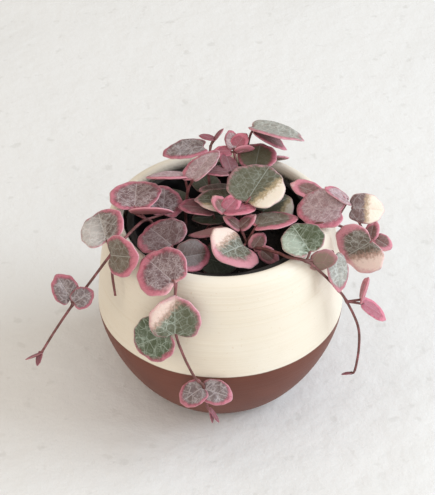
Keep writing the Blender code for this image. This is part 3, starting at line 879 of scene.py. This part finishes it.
sideTrail = {
    "root": (28, -4),
    "stem": [(29, -5, 74), (32, -8, 81), (38, -10, 85.2), (44, -10, 84.8), (48, -10, 83), (53, -10, 80),
             (57, -9, 78)],
    "leaves": [
        (3, (46.8, -6, 88), 165, -5, -30, 18, 17, "lilac", 90),
        (3, (38.5, 4, 88.5), 163, 15, -20, 12, 8.5, "young", 0),
        (3, (49.5, -1.5, 89.5), 190, 38, -3, 12, 8.5, "lilac", -60),
        (6, (51.5, -2, 86.5), 0, -5, 40, 13, 12.5, "pearl", 0),
        (6, (58.5, -15.5, 81), 172, -43, -73, 15, 22.5, "patchwork", -50, 75),
        (6, (59, -8, 76), 73, 35, -10, 8, 6, "young", 0),
        (6, (61, -8, 76), -20, -25, 45, 7.5, 6.5, "young", -60),
    ],
}

frontCrown = {
    "root": (6, -8),
    "stem": [(7, -8.5, 72), (10, -11, 76), (8.5, -9, 80)],
    "leaves": [
        (1, (8.7, -18, 80.2), -130, 16, -22, 17, 21.5, "blotched", 70, -80),
        (1, (14, -10, 83.5), 17, 3, -13, 17, 16, "sage", -75),
        (2, (7.2, -8, 81), 155, 30, 0, 8, 6, "young", 0),
        (2, (8, -8, 81), 33, 30, 0, 8, 6.5, "young", 0),
    ],
}

lowCrown = {
    "root": (-6, -8),
    "stem": [(-6, -14, 74.5)],
    "leaves": [
        (0, (-6, -19, 75), 0, -20, 50, 13, 13, "dark", 0),
        (0, (0.5, -8, 81.5), -160, -5, -150, 14, 13, "brown", 0),
    ],
}

middleCrown = {
    "root": (1, 3),
    "stem": [(2, 2.5, 73), (5, 0, 80), (2, -4, 86.2)],
    "leaves": [
        (1, (10.5, -1, 89), 62, 14, 8, 20, 23.5, "ivory", 60, -105),
        (1, (7.5, 4, 83.5), 176, 7, -5, 18, 14, "ivory", 0, 90),
        (2, (1.8, -4, 86.4), 135, 30, -10, 8, 6.5, "young", 0),
        (2, (2, -3.8, 86.6), 42, 28, 30, 8.5, 7, "pink", 0),
        (2, (2.2, -4.2, 86.4), 4, 4, -5, 12, 9, "pink", 0),
    ],
}

darkCrown = {
    "root": (-6, 3),
    "stem": [(-5, 3, 73), (-2, 1, 77.5)],
    "leaves": [
        (1, (-3.5, 2.5, 81.5), 170, 5, 5, 14, 12, "brown", 0),
        (1, (1.5, 4, 77.5), -175, 0, 0, 13, 12, "dark", 0),
    ],
}

rightCrown = {
    "root": (16, 8),
    "stem": [(16, 5, 76.5)],
    "leaves": [
        (0, (16.5, 5, 79), 39, 2, 20, 15, 17, "edged", 0, -60),
    ],
}

backCrown = {
    "root": (8, 14),
    "stem": [(8, 14.5, 76), (7, 18, 86), (5.5, 25, 94)],
    "leaves": [
        (1, (14, 19, 91), 81, 10, 0, 14, 16, "olive", -60),
        (1, (4, 15, 91.5), 105, 13, 30, 11, 9, "brown", 0),
        (2, (5, 26, 95.5), 101, 32, 0, 8, 6, "lilac", 0),
        (2, (5.5, 26, 95), 35, 40, 30, 8, 7, "pink", 0),
        (1, (2.5, 12, 93), 175, 5, 10, 10, 9, "brown", 0),
        (2, (4, 25, 94.3), 175, 0, -30, 7, 5, "pink", 0),
        (2, (6, 25, 94.3), 15, 3, -60, 8, 6.5, "pink", 0),
        (1, (5.5, 13, 82.6), 176, 4, 5, 14.5, 10, "tan", 0, 90),
        (0, (10, 17, 79), 50, 8, 0, 14, 14, "dark", 0),
    ],
}

tallCrown = {
    "root": (12, 23),
    "stem": [(12, 25, 75), (11.5, 30, 82), (11, 34.5, 89), (12, 35.5, 95), (13.5, 34, 99.5)],
    "leaves": [
        (4, (13.5, 34, 99.8), -16, -4, -18, 21, 19, "misty", -90),
        (4, (13.8, 33.4, 98.3), 9, -35, 9, 17, 8.5, "brown", -60),
        (1, (18.5, 32, 86), 12, -6, -36, 10, 8, "brown", 0),
    ],
}

leftCrown = {
    "root": (-14, 10),
    "stem": [(-14, 10.5, 75), (-13, 10, 86), (-11, 7, 93)],
    "leaves": [
        (2, (-11, 6, 94.5), 56, 16, -23, 17.5, 15, "lilac", 90),
        (1, (-14.5, 9, 93.5), 180, 0, 20, 15, 10, "lilac", 90),
        (0, (-15.5, 12.5, 77.5), 140, 3, 5, 12, 12, "dark", 0),
    ],
}

farCrown = {
    "root": (-4, 18),
    "stem": [(-4, 18.5, 76), (-5, 23, 88), (-4, 27, 96)],
    "leaves": [
        (1, (-7, 26, 95.5), -170, -4, 0, 17, 13, "crinkled", 60),
        (2, (-3, 28, 98.5), 175, 12, -10, 6, 3.5, "bud", 0),
        (2, (-2.5, 28, 98), 30, 45, -20, 6, 3.5, "bud", 0),
        (0, (-4.5, 20, 78.5), 110, 0, 0, 12, 12, "dark", 0),
    ],
}

for pieceName, nodeName, plan in (
        ("leftTrail", "vine_left", leftTrail), ("frontTrail", "vine_front", frontTrail),
        ("rightTrail", "vine_right", rightTrail), ("sideTrail", "vine_side", sideTrail),
        ("frontCrown", "crown_front", frontCrown), ("lowCrown", "crown_low", lowCrown),
        ("middleCrown", "crown_mid", middleCrown), ("darkCrown", "crown_dark", darkCrown),
        ("rightCrown", "crown_right", rightCrown), ("backCrown", "crown_back", backCrown),
        ("tallCrown", "crown_tall", tallCrown), ("leftCrown", "crown_left", leftCrown),
        ("farCrown", "crown_far", farCrown)):
    growVine(pieceName, nodeName, plan)
for blank in blanks.values():
    bpy.data.objects.remove(blank, do_unlink=True)
print("vines grown:", leafCount, "leaves")


# Floor, light and camera.

studio = {
    "floorSize": 4.0, "floor": srgb(229, 228, 227), "floorWorn": srgb(220, 219, 217),
    "floorPit": srgb(196, 194, 190), "aim": (0, 0, 0.05),
    "sky": (1.0, 0.93, 0.83, 1.0), "skyStrength": 0.67,
    "keyPlace": (1.2, 0.0, 0.78), "keySize": 1.0, "keyPower": 17.5, "keyColour": (0.76, 0.88, 1.0),
    "frontPlace": (0.5, -1.2, 0.9), "frontSize": 1.2, "frontPower": 6.6, "frontColour": (0.90, 0.95, 1.0),
    "fillPlace": (-1.1, -0.45, 0.6), "fillSize": 0.7, "fillPower": 2.4, "fillColour": (1.0, 0.86, 0.70),
    "cameraPlace": (0.0, -0.4953, 0.4610), "cameraPitch": 51.36, "cameraTurn": 0.14, "lens": 115.02,
}


def floorMaterial():
    sheet = NodeSheet("painted_floor")
    spot = sheet.place()
    cloud = sheet.noise(spot, 9, 4, 0.6)
    plaster = sheet.noise(spot, 70, 5, 0.62)
    pits = sheet.step(0.62, 0.74, sheet.noise(spot, 120, 2))
    colour = sheet.blend(studio["floor"], studio["floorWorn"], sheet.step(0.45, 0.7, cloud) * 0.5)
    colour = sheet.blend(colour, studio["floorPit"], pits * 0.30)
    return sheet.finish(colour, 0.75, plaster + cloud * 0.8 - pits * 0.06, 0.0009)


deselectAll()
bpy.ops.mesh.primitive_plane_add(size=studio["floorSize"], location=(0, 0, 0))
floor = newest("studioFloor")
floor.data.materials.append(floorMaterial())


def softLight(name, kind):
    place = studio[kind + "Place"]
    deselectAll()
    bpy.ops.object.light_add(type='AREA', location=place)
    lamp = bpy.context.active_object
    lamp.name = name
    lamp.data.size = studio[kind + "Size"]
    lamp.data.energy = studio[kind + "Power"]
    lamp.data.color = studio[kind + "Colour"]
    aim = Vector(studio["aim"]) - Vector(place)
    lamp.rotation_euler = aim.to_track_quat('-Z', 'Y').to_euler()


softLight("windowLight", "key")
softLight("frontLight", "front")
softLight("roomLight", "fill")

world = bpy.data.worlds.new("softRoom")
world.use_nodes = True
world.node_tree.nodes["Background"].inputs["Color"].default_value = studio["sky"]
world.node_tree.nodes["Background"].inputs["Strength"].default_value = studio["skyStrength"]
bpy.context.scene.world = world

deselectAll()
bpy.ops.object.camera_add(location=studio["cameraPlace"],
                          rotation=(radians(studio["cameraPitch"]), 0, radians(studio["cameraTurn"])))
camera = bpy.context.active_object
camera.data.lens = studio["lens"]
camera.data.sensor_width = 36
camera.data.clip_start = 0.01
camera.data.clip_end = 20
bpy.context.scene.camera = camera
bpy.context.scene.view_settings.view_transform = 'Standard'
print("studio set")
